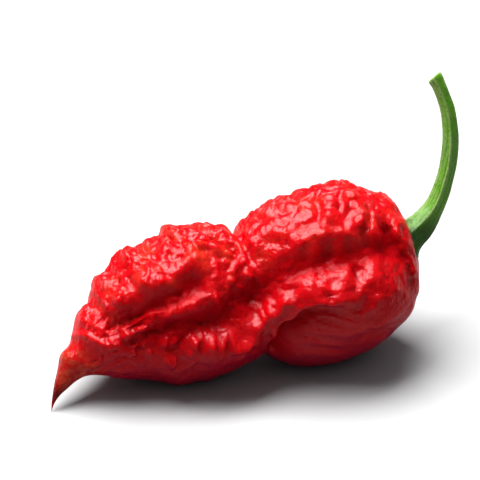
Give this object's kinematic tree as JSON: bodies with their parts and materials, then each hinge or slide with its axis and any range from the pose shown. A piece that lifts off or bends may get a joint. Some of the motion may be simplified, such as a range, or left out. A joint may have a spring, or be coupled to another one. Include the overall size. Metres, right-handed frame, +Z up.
{
  "type": "ghost pepper",
  "caption": "Ripe ghost pepper lying on its side: a wrinkled, lobed red pod with a hooked tip, and a green calyx with a curved cut stalk.",
  "frame": {"origin": "on the surface the pepper lies on, under the middle of the whole thing's footprint", "axes": "+X along the pod from the tip to the calyx, +Y away from the front that faces the viewer, +Z up from the surface"},
  "size_m": [0.0732, 0.0396, 0.0485],
  "materials": {
    "pod_skin": "waxy, glossy, wrinkled natural skin",
    "stem_green": "satin, ridged, speckled green stalk"
  },
  "bodies": {
    "root": {"pod": "pod_skin", "stem": "stem_green"}
  },
  "joints": []
}
